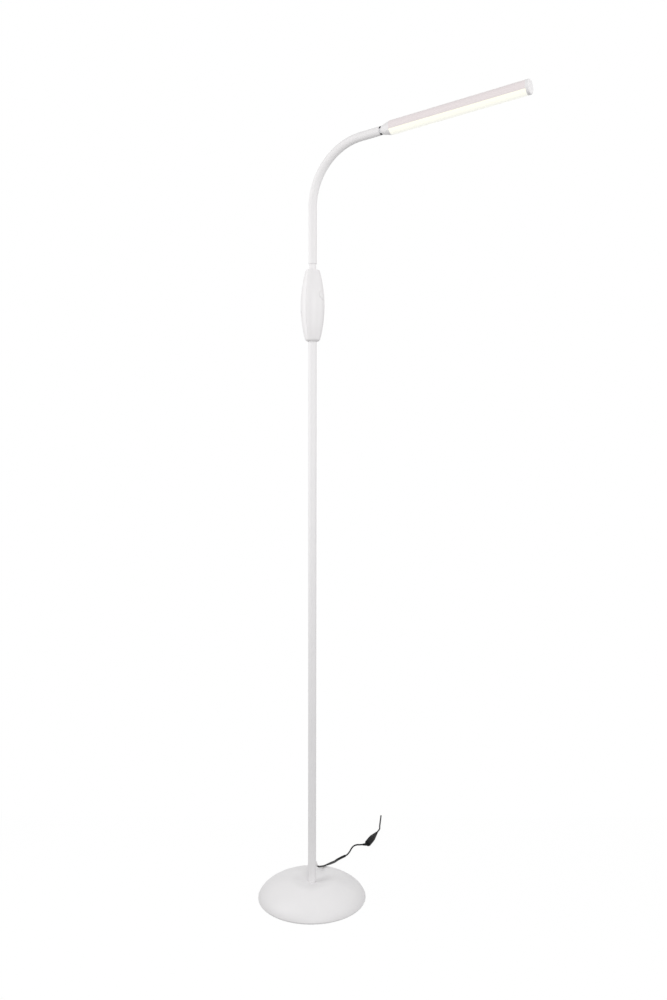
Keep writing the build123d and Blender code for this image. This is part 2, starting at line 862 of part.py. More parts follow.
def adapter_tail():
    rise = relief_start - tail_start
    straight = adapter_tail_straight_share * rise.length
    near = tail_start + coil_axis * straight
    far = relief_start - coil_axis * straight
    return cord_tube("adapter_tail", [tail_start, near, far, relief_start])


def adapter_relief():
    return Plane(origin=relief_start, z_dir=coil_axis) * Cone(
        lead_radius + press_gap, adapter_relief_radius, adapter_relief_length, align=low)


def adapter_form(inset):
    """Rounded block of the adapter, lying on its back, drawn in by an inset."""
    size = (adapter_length - 2 * inset, adapter_width - 2 * inset, adapter_thickness - 2 * inset)
    solid = block((inset, inset - adapter_width / 2, inset), size)
    solid = fillet(solid.edges().filter_by(Axis.Z), adapter_corner - inset)
    if inset > 0:
        return solid
    ends = solid.faces().sort_by(Axis.Z)
    return fillet(ends[0].edges() + ends[-1].edges(), adapter_edge_round)


def adapter_half(start, end):
    """The part of the adapter's hollow case between two heights."""
    case = adapter_form(0) - adapter_form(adapter_wall)
    reach = adapter_length + adapter_width
    return case & block((-reach, -reach, start), (2 * reach, 2 * reach, end - start))


def adapter_pin_places():
    return [(adapter_length / 2, y) for y in (-adapter_pin_spacing / 2, adapter_pin_spacing / 2)]


def adapter_pin_roots(gap):
    """Stretch of each pin inside the case, or the hole for it when a gap is given."""
    start = adapter_thickness - adapter_pin_root
    return [Pos(x, y, 0) * rod(adapter_pin_root_radius + gap, start, adapter_thickness)
            for x, y in adapter_pin_places()]


def adapter_pins():
    end = adapter_thickness + adapter_pin_length
    free = [Pos(x, y, 0) * rod(adapter_pin_radius, adapter_thickness, end) for x, y in adapter_pin_places()]
    return [root + pin for root, pin in zip(adapter_pin_roots(0), free)]


def adapter_rear_case():
    return adapter_half(0, adapter_thickness / 2 - seam_gap / 2)


def adapter_front_case():
    post_radius = 2 * adapter_pin_radius
    post_start = adapter_thickness - adapter_pin_root
    posts = [Pos(x, y, 0) * rod(post_radius, post_start, adapter_thickness - adapter_wall)
             for x, y in adapter_pin_places()]
    case = adapter_half(adapter_thickness / 2 + seam_gap / 2, adapter_thickness)
    return case + posts - adapter_pin_roots(press_gap)


def on_plane(plane, solids):
    """One solid or several, moved from a plane's own frame to the lamp's."""
    return [plane * solid for solid in solids] if isinstance(solids, list) else plane * solids


# Every piece, under its own name
nodes = {
    "floor_pad": rod(base_radius - pad_inset, 0, pad_thickness),
    "base_plate": base_plate(),
    "base_ballast": base_ballast(),
    "base_cover": base_cover(),
    "base_screws": base_screws(),
    "pole_bolt": pole_bolt(),
    "bolt_washer": pipe(washer_radius, bolt_radius + slip_gap, bolt_seat - washer_thickness, bolt_seat),
    "pole_foot_insert": pole_foot_insert(),
    "pole_lower": pole_lower(),
    "pole_joiner": pole_joiner(),
    "pole_upper": pipe(pole_radius, pole_bore, pole_joint_height, pole_top),
    "cord_grommet": cord_grommet(),
    "pole_wire": pole_wire(),
    "box_front_shell": box_front_shell(),
    "box_rear_shell": box_rear_shell(),
    "box_screws": box_screw_holes(0, box_screw_head_height),
    "box_spine": box_spine(),
    "control_board": control_board(),
    "board_components": board_components(),
    "switch_body": switch_body(),
    "switch_plunger": switch_plunger(),
    "touch_button": touch_button(),
    "neck_ferrule": neck_ferrule(),
    "swivel_ring": on_plane(head_plane, swivel_ring()),
    "swivel_spindle": on_plane(head_plane, swivel_spindle()),
    "swivel_clip": on_plane(head_plane, swivel_clip()),
    "head_cone": on_plane(head_plane, head_cone()),
    "head_housing": on_plane(head_plane, head_housing()),
    "led_carrier": on_plane(head_plane, led_carrier()),
    "led_strip": on_plane(head_plane, led_strip()),
    "led_chips": on_plane(head_plane, led_chips()),
    "diffuser": on_plane(head_plane, diffuser()),
    "end_cap": on_plane(head_plane, end_cap()),
    "lamp_lead": lamp_lead(),
    "dc_socket": dc_socket(),
    "dc_plug": dc_plug(),
    "dc_barrel": dc_barrel(),
    "adapter_lead": adapter_lead(),
    "adapter_coil": adapter_coil(),
    "coil_tie": coil_tie(),
    "adapter_tail": adapter_tail(),
    "adapter_relief": adapter_relief(),
    "adapter_front_case": on_plane(adapter_plane, adapter_front_case()),
    "adapter_rear_case": on_plane(adapter_plane, adapter_rear_case()),
    "adapter_pins": on_plane(adapter_plane, adapter_pins()),
}
for number in range(1, neck_link_count + 1):
    nodes[f"neck_link_{number:02d}"] = neck_link(number)

os.makedirs("parts", exist_ok=True)
for name, shape in nodes.items():
    solid = Compound(shape) if isinstance(shape, list) else shape
    export_step(solid, f"parts/{name}.step")

for number in range(1, neck_link_count):
    joint = neck_point(number * neck_pitch)
    print("neck joint", number, tuple(joint), "heading", tuple(neck_heading(number * neck_pitch)))
print("swivel", tuple(neck_point(neck_length)), "axis", tuple(head_axis))
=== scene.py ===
"""A slim white reading floor lamp with its lead and mains adapter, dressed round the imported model."""
import math

import bmesh
import bpy
from mathutils import Matrix, Vector


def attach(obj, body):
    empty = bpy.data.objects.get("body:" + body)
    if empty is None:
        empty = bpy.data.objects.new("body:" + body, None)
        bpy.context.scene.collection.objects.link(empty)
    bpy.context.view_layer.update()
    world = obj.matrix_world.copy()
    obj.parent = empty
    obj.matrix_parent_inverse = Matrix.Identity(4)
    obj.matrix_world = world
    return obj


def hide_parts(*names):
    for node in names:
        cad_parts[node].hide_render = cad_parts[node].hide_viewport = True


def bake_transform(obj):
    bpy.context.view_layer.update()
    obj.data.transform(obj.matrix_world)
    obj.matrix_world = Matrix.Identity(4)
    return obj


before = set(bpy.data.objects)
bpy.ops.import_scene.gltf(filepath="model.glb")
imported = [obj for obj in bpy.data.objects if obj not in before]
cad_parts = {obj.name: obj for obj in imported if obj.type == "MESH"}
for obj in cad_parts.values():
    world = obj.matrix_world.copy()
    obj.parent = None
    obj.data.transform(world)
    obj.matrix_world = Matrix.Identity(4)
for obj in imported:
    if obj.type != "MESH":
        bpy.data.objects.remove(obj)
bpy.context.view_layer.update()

# Lengths below are in millimetres in the lamp's frame, and pieces are made in metres
MM = 0.001
UP = Vector((0, 0, 1))
SIDEWAYS = Vector((0, 1, 0))

# Camera of the photograph
CAMERA_PLACE = (765.9, -1175.9, 720.3)
CAMERA_TURN = 31.74
CAMERA_TILT = 3.4912
CAMERA_ROLL = 0.14
CAMERA_LENS = 32.58
FRAME_LONG_SIDE = 36

# Studio
WHITE = (1, 1, 1, 1)
SKY_STRENGTH = 0.60
FLOOR_REACH = 6000
FLOOR_STRENGTH = 1.07
FLOOR_WHITE_SHARE = 0.9
BACKDROP_BACK = 314
BACKDROP_HALF_WIDTH = 2600
BACKDROP_HEIGHT = 2400

# Softboxes: name, place and aim to the camera's right, away from it and up, width, height and watts
SOFTBOXES = [
    ("front_softbox", (300, -1700, 1050), (0, 0, 950), 1300, 1000, 11),
    ("high_softbox", (800, -1500, 1500), (0, 0, 500), 1500, 1500, 3),
    ("left_softbox", (-750, -50, 950), (0, 0, 900), 500, 1100, 3.8),
    ("right_softbox", (1000, -150, 1050), (0, 0, 1000), 500, 900, 2.0),
    ("low_softbox", (200, -600, 650), (170, 0, 1170), 500, 400, 0.35),
]

# Neck, repeated from the part's source
NECK_FOOT = 996.0
NECK_STRAIGHT = 85.3
NECK_BEND_RADIUS = 90.9
NECK_ARC = math.radians(85.56) * NECK_BEND_RADIUS
NECK_TAIL = 33.3
NECK_LINKS = 9
NECK_LENGTH = NECK_STRAIGHT + NECK_ARC + NECK_TAIL
NECK_PITCH = NECK_LENGTH / NECK_LINKS
NECK_RADIUS = 6.35

# Sleeve over the neck
NECK_SLEEVE_BORE = 5.25
NECK_LIP = 0.7
NECK_LIP_CUT = 0.21

# Swivel and light head, where the part's source puts them
HEAD_FOOT = Vector((117.063, 0, 1174.505))
HEAD_AXIS = Vector((0.997, 0, 0.0774)).normalized()
HEAD_DOWN = SIDEWAYS.cross(HEAD_AXIS)
HEAD_RADIUS = 10.05
DIFFUSER_HALF_ANGLE = math.radians(65.5)
SWIVEL_RADIUS = 5.3
SWIVEL_LENGTH = 3.0

# Dark pads on the swivel ring: painted reflection, standing in for the dark the chrome ring shows at its
# top and bottom
REFLECTION_PAD_SEAT_GAP = 0.02
REFLECTION_PAD_BELOW_NECK = 0.25
REFLECTION_PAD_MARGIN = 0.3
REFLECTION_PAD_ROUND = 0.3
REFLECTION_PAD_TOP_HALF_ARC = math.radians(62)
REFLECTION_PAD_BOTTOM_HALF_ARC = math.radians(26)

# Grommet and lead, repeated from the part's source
POLE_RADIUS = 6.35
GROMMET_SEAT = Vector((0, POLE_RADIUS, 54.0))
GROMMET_DIRECTION = Vector((0, 1, -1)).normalized()
GROMMET_LENGTH = 10.0
GROMMET_TIP_RADIUS = 2.0
GROMMET_LEAVE_RUN = 5.0
LEAD_RADIUS = 1.3
LEAD_REST = 1.35

# Boot round the grommet
BOOT_ROOT_RADIUS = 4.6
BOOT_ROOT_GAP = 0.05
BOOT_START = 2.6
BOOT_START_RADIUS = 3.7
BOOT_POLE_GAP = 0.4
BOOT_BORE_DEPTH = 3.0

# Soft sleeve on the lamp's lead, with its ends given by how far back they lie
SLEEVE_REST = 2.1
SLEEVE_START = 62.0
SLEEVE_END = 149.0
SLEEVE_START_RADIUS = 1.5
SLEEVE_RADIUS = 2.05
SLEEVE_TAPER = 3.5
SLEEVE_LIP = 0.25

# Connector, repeated from the part's source
CONNECTOR_FOOT = Vector((-14.1, 204.2, 5.85))
CONNECTOR_AXIS = Vector((-0.168, 0.986, 0)).normalized()
SOCKET_RADIUS = 5.7
SOCKET_ROUND = 1.2
SOCKET_END = 20.0
SOCKET_HOLE_START = 10.35
SOCKET_HOLE_RADIUS = 2.9
SOCKET_ENTRY_RUN = 5.0
SOCKET_RELIEF_LENGTH = 9.0
SOCKET_RELIEF_RADIUS = 2.9
SOCKET_RELIEF_DROP = 1.6
SOCKET_RELIEF_AXIS = Vector((0.92, 0.38, 0.15)).normalized()
SOCKET_RELIEF_ROOT = CONNECTOR_FOOT + CONNECTOR_AXIS * SOCKET_ROUND - UP * SOCKET_RELIEF_DROP
SOCKET_RELIEF_FOOT = SOCKET_RELIEF_ROOT - SOCKET_RELIEF_AXIS * SOCKET_RELIEF_LENGTH
PLUG_RADIUS = 5.5
PLUG_TIP_RADIUS = 1.9
PLUG_START = 20.15
PLUG_BAND_END = 25.15
PLUG_END = 50.15
PLUG_LEAVE_RUN = 8.0

# Trim of the connector and of the strain reliefs
SOCKET_BLUNT = 2.2
SOCKET_BLUNT_CUT = 0.7
SOCKET_GRIP_START = 2.5
SOCKET_GRIP_END = 15.5
SOCKET_RELIEF_TIP_RADIUS = 1.9
SOCKET_EDGE_ROUND = 0.25
MOUTH_CHAMFER = 0.4
PLUG_STEP_RUN = 1.0
PLUG_STEP_DROP = 0.15
GRIP_DEPTH = 0.3
EDGE_ROUND = 0.3
ADAPTER_RELIEF_TIP_RADIUS = 2.0

# Coil, tie and adapter's strain relief, repeated from the part's source
COIL_AXIS = Vector((-0.48, 0.877, 0)).normalized()
COIL_RIGHT = Vector((COIL_AXIS.y, -COIL_AXIS.x, 0))
COIL_PITCH = 3.5
COIL_INNER_RADIUS = 9.6
COIL_OUTER_RADIUS = 20.1
COIL_FIRST = Vector((-75.0, 366.0, 2.25))
COIL_OUTER_LAYER_TURNS = 3
COIL_INNER_LAYER_TURNS = 3.25
COIL_CLIMB_TURNS = 0.5
COIL_ENTRY_RUN = 8.0
COIL_STRAIGHT = 2.6
TIE_WIDTH = 4.0
TIE_THICKNESS = 0.8
TIE_GAP = 0.4
TAIL_RUN = 28.0
TAIL_STRAIGHT_SHARE = 0.28
TAIL_END_HEIGHT = 14.0
ADAPTER_RELIEF_LENGTH = 14.0
ADAPTER_RELIEF_RADIUS = 3.4

# Smoothness of the coil, and the tie's rounding and its gap on the far side
COIL_POINTS_PER_TURN = 16
TIE_ROUND = 2.0
TIE_OUTER_GAP = 0.3

# Faces that meet more sharply than this, in degrees, keep an edge
CREASE = 35

# A rounded corner takes at most this share of the edges beside it
CORNER_SHARE = 0.45


# Shader sums

class Value:
    """A node's output that can be written in sums like a number."""

    def __init__(self, finish, socket):
        self.finish = finish
        self.socket = socket

    def out(self, name):
        """Another output of the same node."""
        return Value(self.finish, self.socket.node.outputs[name])

    def sum(self, operation, first, second):
        return self.finish.node("ShaderNodeMath", {"operation": operation}, {0: first, 1: second})

    def __add__(self, other):
        return self.sum("ADD", self, other)

    def __radd__(self, other):
        return self.sum("ADD", other, self)

    def __sub__(self, other):
        return self.sum("SUBTRACT", self, other)

    def __rsub__(self, other):
        return self.sum("SUBTRACT", other, self)

    def __mul__(self, other):
        return self.sum("MULTIPLY", self, other)

    def __rmul__(self, other):
        return self.sum("MULTIPLY", other, self)


class Finish:
    """A material, or the world, whose look is worked out from the place on a piece."""

    def __init__(self, owner):
        self.owner = owner
        owner.use_nodes = True
        self.tree = owner.node_tree
        self.tree.nodes.clear()

    def node(self, kind, settings, sockets, output=0):
        """A new node: its settings first, then its sockets, and one of its outputs."""
        made = self.tree.nodes.new(kind)
        for name, value in settings.items():
            setattr(made, name, value)
        for name, value in sockets.items():
            if isinstance(value, Value):
                self.tree.links.new(value.socket, made.inputs[name])
            else:
                made.inputs[name].default_value = value
        return Value(self, made.outputs[output]) if made.outputs else None

    def place(self):
        return self.node("ShaderNodeTexCoord", {}, {}, "Object")

    def grain(self, size, detail, stretch=(1, 1, 1)):
        """Noise between 0 and 1, with patches of about a size in millimetres."""
        spread = self.node("ShaderNodeMapping", {}, {"Vector": self.place(), "Scale": stretch})
        return self.node("ShaderNodeTexNoise", {}, {
            "Vector": spread, "Scale": 1 / (size * MM), "Detail": detail})

    def blend(self, share, first, second):
        """Colour between two colours."""
        return self.node("ShaderNodeMix", {"data_type": "RGBA"},
                         {0: share, 6: (*first, 1), 7: (*second, 1)}, 2)

    def relief(self, height, depth):
        """Bump of a depth in millimetres."""
        return self.node("ShaderNodeBump", {}, {
            "Height": height, "Distance": depth * MM, "Strength": 1.0})

    def surface(self, sockets):
        """The material's surface, from the sockets of one shader."""
        return self.close(self.node("ShaderNodeBsdfPrincipled", {}, sockets))

    def close(self, shader, kind="ShaderNodeOutputMaterial"):
        self.node(kind, {}, {"Surface": shader})
        return self.owner


def new_finish(name):
    return Finish(bpy.data.materials.new(name))


# Finishes

def coated(name, light, dark, peel, depth, rough):
    """Paint or moulded plastic: a faint drift of shade, a fine grain and an uneven gloss."""
    finish = new_finish(name)
    drift = finish.grain(size=38, detail=3)
    grain = finish.grain(size=peel, detail=2)
    handled = finish.grain(size=9, detail=4)
    return finish.surface({
        "Base Color": finish.blend(drift, dark, light),
        "Roughness": rough + 0.04 * (handled - 0.5),
        "Normal": finish.relief(grain, depth),
    })


def turned_metal(name, light, dark, rough, mark, depth):
    """Bare metal with fine tool marks and uneven polish."""
    finish = new_finish(name)
    marks = finish.grain(size=mark, detail=4, stretch=(1, 1, 6))
    cloud = finish.grain(size=6, detail=3)
    return finish.surface({
        "Base Color": finish.blend(cloud, dark, light),
        "Metallic": 1.0,
        "Roughness": rough + 0.12 * marks,
        "Normal": finish.relief(marks, depth),
    })


def rubbery(name, light, dark, pore, depth, rough):
    """Soft, dark plastic or rubber with a dull, smeared gloss."""
    finish = new_finish(name)
    grain = finish.grain(size=pore, detail=3)
    smear = finish.grain(size=14, detail=4)
    return finish.surface({
        "Base Color": finish.blend(smear * 0.7 + grain * 0.3, dark, light),
        "Roughness": rough + 0.22 * (smear - 0.5),
        "Normal": finish.relief(grain, depth),
        "Specular IOR Level": 0.15,
    })


def opal_glow():
    """Frosted strip that glows: warm white along its edges and whiter towards the bottom."""
    finish = new_finish("opal_glow")
    frost = finish.grain(size=0.5, detail=2)
    offset = finish.node("ShaderNodeVectorMath", {"operation": "SUBTRACT"},
                         {0: finish.place(), 1: HEAD_FOOT * MM})
    drop = finish.node("ShaderNodeVectorMath", {"operation": "DOT_PRODUCT"},
                       {0: offset, 1: HEAD_DOWN}, "Value")
    edge = HEAD_RADIUS * math.cos(DIFFUSER_HALF_ANGLE)
    depth = (drop * (1 / MM) - edge) * (1 / (HEAD_RADIUS - edge))
    return finish.surface({
        "Base Color": finish.blend(frost, (0.70, 0.69, 0.60), (0.74, 0.73, 0.64)),
        "Roughness": 0.42 + 0.12 * frost,
        "Normal": finish.relief(frost, depth=0.02),
        "Emission Color": finish.blend(depth, (1.0, 0.985, 0.72), (1.0, 1.0, 0.98)),
        "Emission Strength": 0.46,
    })


def light_chip():
    """Yellow phosphor of a light source, with a speckle."""
    finish = new_finish("light_chip")
    speckle = finish.grain(size=0.3, detail=3)
    return finish.surface({
        "Base Color": finish.blend(speckle, (0.80, 0.62, 0.14), (0.92, 0.78, 0.25)),
        "Roughness": 0.55 + 0.1 * speckle,
        "Normal": finish.relief(speckle, depth=0.02),
        "Emission Color": finish.blend(speckle, (1.0, 0.86, 0.55), (1.0, 0.93, 0.7)),
        "Emission Strength": 0.8,
    })


def cast_iron():
    """Rough casting with patches of rust."""
    finish = new_finish("cast_iron")
    sand = finish.grain(size=1.4, detail=5)
    rust = finish.grain(size=18, detail=4)
    patches = rust * 0.6 + sand * 0.4
    return finish.surface({
        "Base Color": finish.blend(patches, (0.055, 0.05, 0.047), (0.17, 0.13, 0.10)),
        "Metallic": 0.55,
        "Roughness": 0.62 + 0.2 * sand,
        "Normal": finish.relief(sand, depth=0.25),
    })


def circuit_board():
    """Green lacquer over a glass weave."""
    finish = new_finish("circuit_board")
    weave = finish.grain(size=0.8, detail=2)
    return finish.surface({
        "Base Color": finish.blend(weave, (0.015, 0.12, 0.045), (0.03, 0.2, 0.08)),
        "Roughness": 0.3 + 0.15 * weave,
        "Normal": finish.relief(weave, depth=0.03),
        "Coat Weight": 0.4,
    })


FINISHES = {
    "white_paint": coated(
        "white_paint", (0.815, 0.802, 0.808), (0.775, 0.765, 0.77), peel=1.5, depth=0.012, rough=0.46),
    "white_plastic": coated(
        "white_plastic", (0.80, 0.785, 0.79), (0.77, 0.755, 0.76), peel=0.7, depth=0.006, rough=0.40),
    # The head's housing is the same white plastic, tinted pinkish grey: painted shade with a painted warm
    # cast of the lamp's light
    "white_housing_painted_shade": coated(
        "white_housing_painted_shade", (0.80, 0.735, 0.74), (0.775, 0.71, 0.715), peel=0.9, depth=0.008, rough=0.36),
    "white_sleeve": coated(
        "white_sleeve", (0.815, 0.80, 0.805), (0.785, 0.77, 0.775), peel=6.0, depth=0.01, rough=0.55),
    "chrome": turned_metal(
        "chrome", (0.72, 0.72, 0.73), (0.58, 0.58, 0.60), rough=0.10, mark=0.35, depth=0.006),
    "steel": turned_metal(
        "steel", (0.56, 0.57, 0.58), (0.42, 0.43, 0.44), rough=0.30, mark=0.6, depth=0.02),
    "ballast_iron": cast_iron(),
    "foot_rubber": rubbery(
        "foot_rubber", (0.075, 0.075, 0.078), (0.045, 0.045, 0.047), pore=0.8, depth=0.12, rough=0.75),
    "spreader_aluminium": turned_metal(
        "spreader_aluminium", (0.80, 0.80, 0.81), (0.68, 0.68, 0.69), rough=0.35, mark=0.5, depth=0.02),
    "board_green": circuit_board(),
    "board_white": coated(
        "board_white", (0.82, 0.82, 0.80), (0.76, 0.76, 0.74), peel=0.6, depth=0.02, rough=0.45),
    "component_black": rubbery(
        "component_black", (0.05, 0.05, 0.052), (0.028, 0.028, 0.03), pore=0.4, depth=0.03, rough=0.5),
    "light_source": light_chip(),
    "diffuser_opal": opal_glow(),
    "lead_black": rubbery(
        "lead_black", (0.012, 0.012, 0.013), (0.006, 0.006, 0.007), pore=0.6, depth=0.02, rough=0.5),
    "connector_black": rubbery(
        "connector_black", (0.010, 0.010, 0.011), (0.005, 0.005, 0.006), pore=0.45, depth=0.03, rough=0.55),
    "contact_brass": turned_metal(
        "contact_brass", (0.84, 0.66, 0.33), (0.70, 0.52, 0.24), rough=0.22, mark=0.4, depth=0.008),
    "pin_steel": turned_metal(
        "pin_steel", (0.74, 0.73, 0.70), (0.60, 0.59, 0.57), rough=0.2, mark=0.4, depth=0.008),
}


# Making pieces

def link(thing):
    bpy.context.scene.collection.objects.link(thing)
    return thing


def settle(name, mesh, body, slot, replaces=()):
    """A finished mesh as a piece: creased where its faces meet sharply, with its finish and its body."""
    bmesh.ops.recalc_face_normals(mesh, faces=mesh.faces)
    for face in mesh.faces:
        face.smooth = True
    for edge in mesh.edges:
        edge.smooth = edge.calc_face_angle(math.pi) < math.radians(CREASE)
    data = bpy.data.meshes.new(name)
    mesh.to_mesh(data)
    mesh.free()
    piece = link(bpy.data.objects.new(name, data))
    data.materials.append(FINISHES[slot])
    if body:
        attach(piece, body)
    if replaces:
        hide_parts(*replaces)
    return piece


def skin(mesh, rings, closed=False):
    """Faces between neighbouring rings of vertices, all with the same count."""
    pairs = list(zip(rings, rings[1:]))
    if closed:
        pairs.append((rings[-1], rings[0]))
    for lower, upper in pairs:
        for index in range(len(lower)):
            follow = (index + 1) % len(lower)
            mesh.faces.new((lower[index], lower[follow], upper[follow], upper[index]))


def spokes(across, other, count):
    """Directions all round, evenly spaced, from one direction towards another."""
    angles = [2 * math.pi * index / count for index in range(count)]
    return [across * math.cos(angle) + other * math.sin(angle) for angle in angles]


def ring_of(mesh, middle, around, radius):
    """Vertices at a radius round a place."""
    return [mesh.verts.new((middle + spoke * radius) * MM) for spoke in around]


def turned(outline, foot, axis, sides=64):
    """Mesh turned round an axis from a closed outline of places along it and radii."""
    mesh = bmesh.new()
    across = axis.orthogonal().normalized()
    around = spokes(across, axis.cross(across), sides)
    rings = [ring_of(mesh, foot + axis * along, around, radius) for along, radius in outline]
    skin(mesh, rings, closed=True)
    return mesh


def rounded(outline, size, steps):
    """Closed outline with its corners cut to short round runs."""
    result = []
    count = len(outline)
    for index in range(count):
        here = Vector(outline[index])
        before = Vector(outline[index - 1])
        after = Vector(outline[(index + 1) % count])
        shorter = min((before - here).length, (after - here).length)
        cut = min(size, shorter * CORNER_SHARE)
        first = here + (before - here).normalized() * cut
        last = here + (after - here).normalized() * cut
        for step in range(steps + 1):
            share = step / steps
            near = first.lerp(here, share)
            far = here.lerp(last, share)
            result.append(tuple(near.lerp(far, share)))
    return result


def grooved(start, end, start_radius, end_radius, grooves, depth):
    """Outline of a tapered sleeve with ring grooves, from its start to its end."""
    section = ((0.25, 0), (0.4, depth), (0.75, depth), (0.9, 0))
    outline = [(start, start_radius)]
    pitch = (end - start) / grooves
    for index in range(grooves):
        for share, cut in section:
            along = start + (index + share) * pitch
            radius = start_radius + (end_radius - start_radius) * (along - start) / (end - start)
            outline.append((along, radius - cut))
    return outline + [(end, end_radius)]


def dress(slot, *names):
    """Gives carried-over pieces a finish."""
    for name in names:
        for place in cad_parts[name].material_slots:
            place.material = FINISHES[slot]


# Studio

def studio_place(right, back, up):
    """Place in metres from millimetres to the camera's right, away from it and up, from the lamp's foot."""
    turn = math.radians(CAMERA_TURN)
    return Vector((right * math.cos(turn) - back * math.sin(turn),
                   right * math.sin(turn) + back * math.cos(turn), up)) * MM


def photo_camera():
    data = bpy.data.cameras.new("photo_camera")
    data.sensor_width = FRAME_LONG_SIDE
    data.lens = CAMERA_LENS
    camera = link(bpy.data.objects.new("photo_camera", data))
    camera.matrix_world = (Matrix.Translation(Vector(CAMERA_PLACE) * MM)
                           @ Matrix.Rotation(math.radians(CAMERA_TURN), 4, "Z")
                           @ Matrix.Rotation(math.radians(90 - CAMERA_TILT), 4, "X")
                           @ Matrix.Rotation(math.radians(CAMERA_ROLL), 4, "Z"))
    bpy.context.scene.camera = camera


def seen_directly(finish):
    """One for rays from the camera, or from it by way of metal or glass."""
    path = finish.node("ShaderNodeLightPath", {}, {}, "Is Camera Ray")
    return path + path.out("Is Glossy Ray") + path.out("Is Transmission Ray")


def sheet_of(name, corners, material):
    """Flat part of the studio, whose white isn't sampled as a lamp because it lights nothing."""
    mesh = bmesh.new()
    mesh.faces.new([mesh.verts.new(corner) for corner in corners])
    data = bpy.data.meshes.new(name)
    mesh.to_mesh(data)
    mesh.free()
    data.materials.append(material)
    material.cycles.emission_sampling = "NONE"
    sheet = link(bpy.data.objects.new(name, data))
    return sheet


def studio_floor():
    """White floor that keeps a trace of the lamp's shadow."""
    finish = new_finish("studio_floor")
    paper = finish.grain(size=3, detail=2)
    matt = finish.node("ShaderNodeBsdfDiffuse", {}, {
        "Color": finish.blend(paper, (0.39, 0.39, 0.39), (0.41, 0.41, 0.41))})
    white = finish.node("ShaderNodeEmission", {}, {"Color": WHITE, "Strength": FLOOR_STRENGTH})
    mixed = finish.node("ShaderNodeMixShader", {}, {
        0: seen_directly(finish) * FLOOR_WHITE_SHARE, 1: matt, 2: white})
    reach = FLOOR_REACH * MM
    corners = [(-reach, -reach, 0), (reach, -reach, 0), (reach, reach, 0), (-reach, reach, 0)]
    sheet_of("studio_floor", corners, finish.close(mixed))


def studio_backdrop():
    """White paper behind the lamp, with the put-away length of the lead behind it."""
    finish = new_finish("studio_backdrop")
    white = finish.node("ShaderNodeEmission", {}, {"Color": WHITE, "Strength": 1.0})
    clear = finish.node("ShaderNodeBsdfTransparent", {}, {})
    behind = finish.node("ShaderNodeNewGeometry", {}, {}, "Backfacing")
    mixed = finish.node("ShaderNodeMixShader", {}, {0: behind, 1: white, 2: clear})
    corners = [studio_place(-BACKDROP_HALF_WIDTH, BACKDROP_BACK, 0),
               studio_place(BACKDROP_HALF_WIDTH, BACKDROP_BACK, 0),
               studio_place(BACKDROP_HALF_WIDTH, BACKDROP_BACK, BACKDROP_HEIGHT),
               studio_place(-BACKDROP_HALF_WIDTH, BACKDROP_BACK, BACKDROP_HEIGHT)]
    paper = sheet_of("studio_backdrop", corners, finish.close(mixed))
    paper.visible_diffuse = False
    paper.visible_glossy = False
    paper.visible_transmission = False
    paper.visible_shadow = False


def softbox(name, place, aim, width, height, watts):
    data = bpy.data.lights.new(name, "AREA")
    data.shape = "RECTANGLE"
    data.size = width * MM
    data.size_y = height * MM
    data.energy = watts
    lamp = link(bpy.data.objects.new(name, data))
    lamp.location = place
    lamp.rotation_euler = (aim - place).to_track_quat("-Z", "Y").to_euler()


def studio_light():
    """Softboxes in a pale surrounding light, which is white where the camera sees it."""
    finish = Finish(bpy.data.worlds.new("studio_air"))
    around = finish.node("ShaderNodeBackground", {}, {"Color": WHITE, "Strength": SKY_STRENGTH})
    white = finish.node("ShaderNodeBackground", {}, {"Color": WHITE, "Strength": 1.0})
    mixed = finish.node("ShaderNodeMixShader", {}, {0: seen_directly(finish), 1: around, 2: white})
    bpy.context.scene.world = finish.close(mixed, "ShaderNodeOutputWorld")
    for name, place, aim, width, height, watts in SOFTBOXES:
        softbox(name, studio_place(*place), studio_place(*aim), width, height, watts)


# Leads

def lead_curve_data(name, route):
    """One smooth curve along a lead's route."""
    data = bpy.data.curves.new(name, "CURVE")
    data.dimensions = "3D"
    data.bevel_depth = LEAD_RADIUS * MM
    data.bevel_resolution = 5
    data.resolution_u = 10
    data.use_fill_caps = True
    spline = data.splines.new("NURBS")
    spline.points.add(len(route) - 1)
    for point, place in zip(spline.points, route):
        point.co = (*(Vector(place) * MM), 1)
    spline.order_u = 3
    spline.use_endpoint_u = True
    return data


def lead_curve(name, route):
    """A lead as a piece of the lamp's stand."""
    data = lead_curve_data(name, route)
    piece = link(bpy.data.objects.new(name, data))
    data.materials.append(FINISHES["lead_black"])
    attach(piece, "stand")
    return piece


def lamp_lead_route():
    """From the grommet's tip down over the base, along the floor and into the socket's relief."""
    tip = GROMMET_SEAT + GROMMET_DIRECTION * GROMMET_LENGTH
    return [
        tip, tip + GROMMET_DIRECTION * GROMMET_LEAVE_RUN,
        (-3.2, 27, 37.6), (-6.6, 37.5, 33.4), (-7.2, 47, 30), (-10.6, 62, 25.4), (-15.2, 77, 19.6),
        (-21.6, 96, 12.5), (-28, 114, 5.1), (-31.4, 129, SLEEVE_REST), (-29.2, 141.6, SLEEVE_REST),
        (-26.2, 152.8, SLEEVE_REST), (-29.8, 168, LEAD_REST), (-34.2, 182, LEAD_REST),
        (-35.6, 192, LEAD_REST), (-33.4, 198.6, LEAD_REST),
        SOCKET_RELIEF_FOOT - SOCKET_RELIEF_AXIS * SOCKET_ENTRY_RUN, SOCKET_RELIEF_FOOT]


def coil_stages():
    """Turns, change of radius and change of height of each stage of the coil."""
    outer = COIL_OUTER_LAYER_TURNS
    inner = COIL_INNER_LAYER_TURNS
    climb = (COIL_CLIMB_TURNS, 0, COIL_PITCH)
    return [(outer, -outer * COIL_PITCH, 0), climb, (inner, inner * COIL_PITCH, 0), climb,
            (inner, -inner * COIL_PITCH, 0), climb, (outer, outer * COIL_PITCH, 0)]


def coil_turns():
    return sum(turns for turns, outward, upward in coil_stages())


def coil_rise():
    return sum(upward for turns, outward, upward in coil_stages())


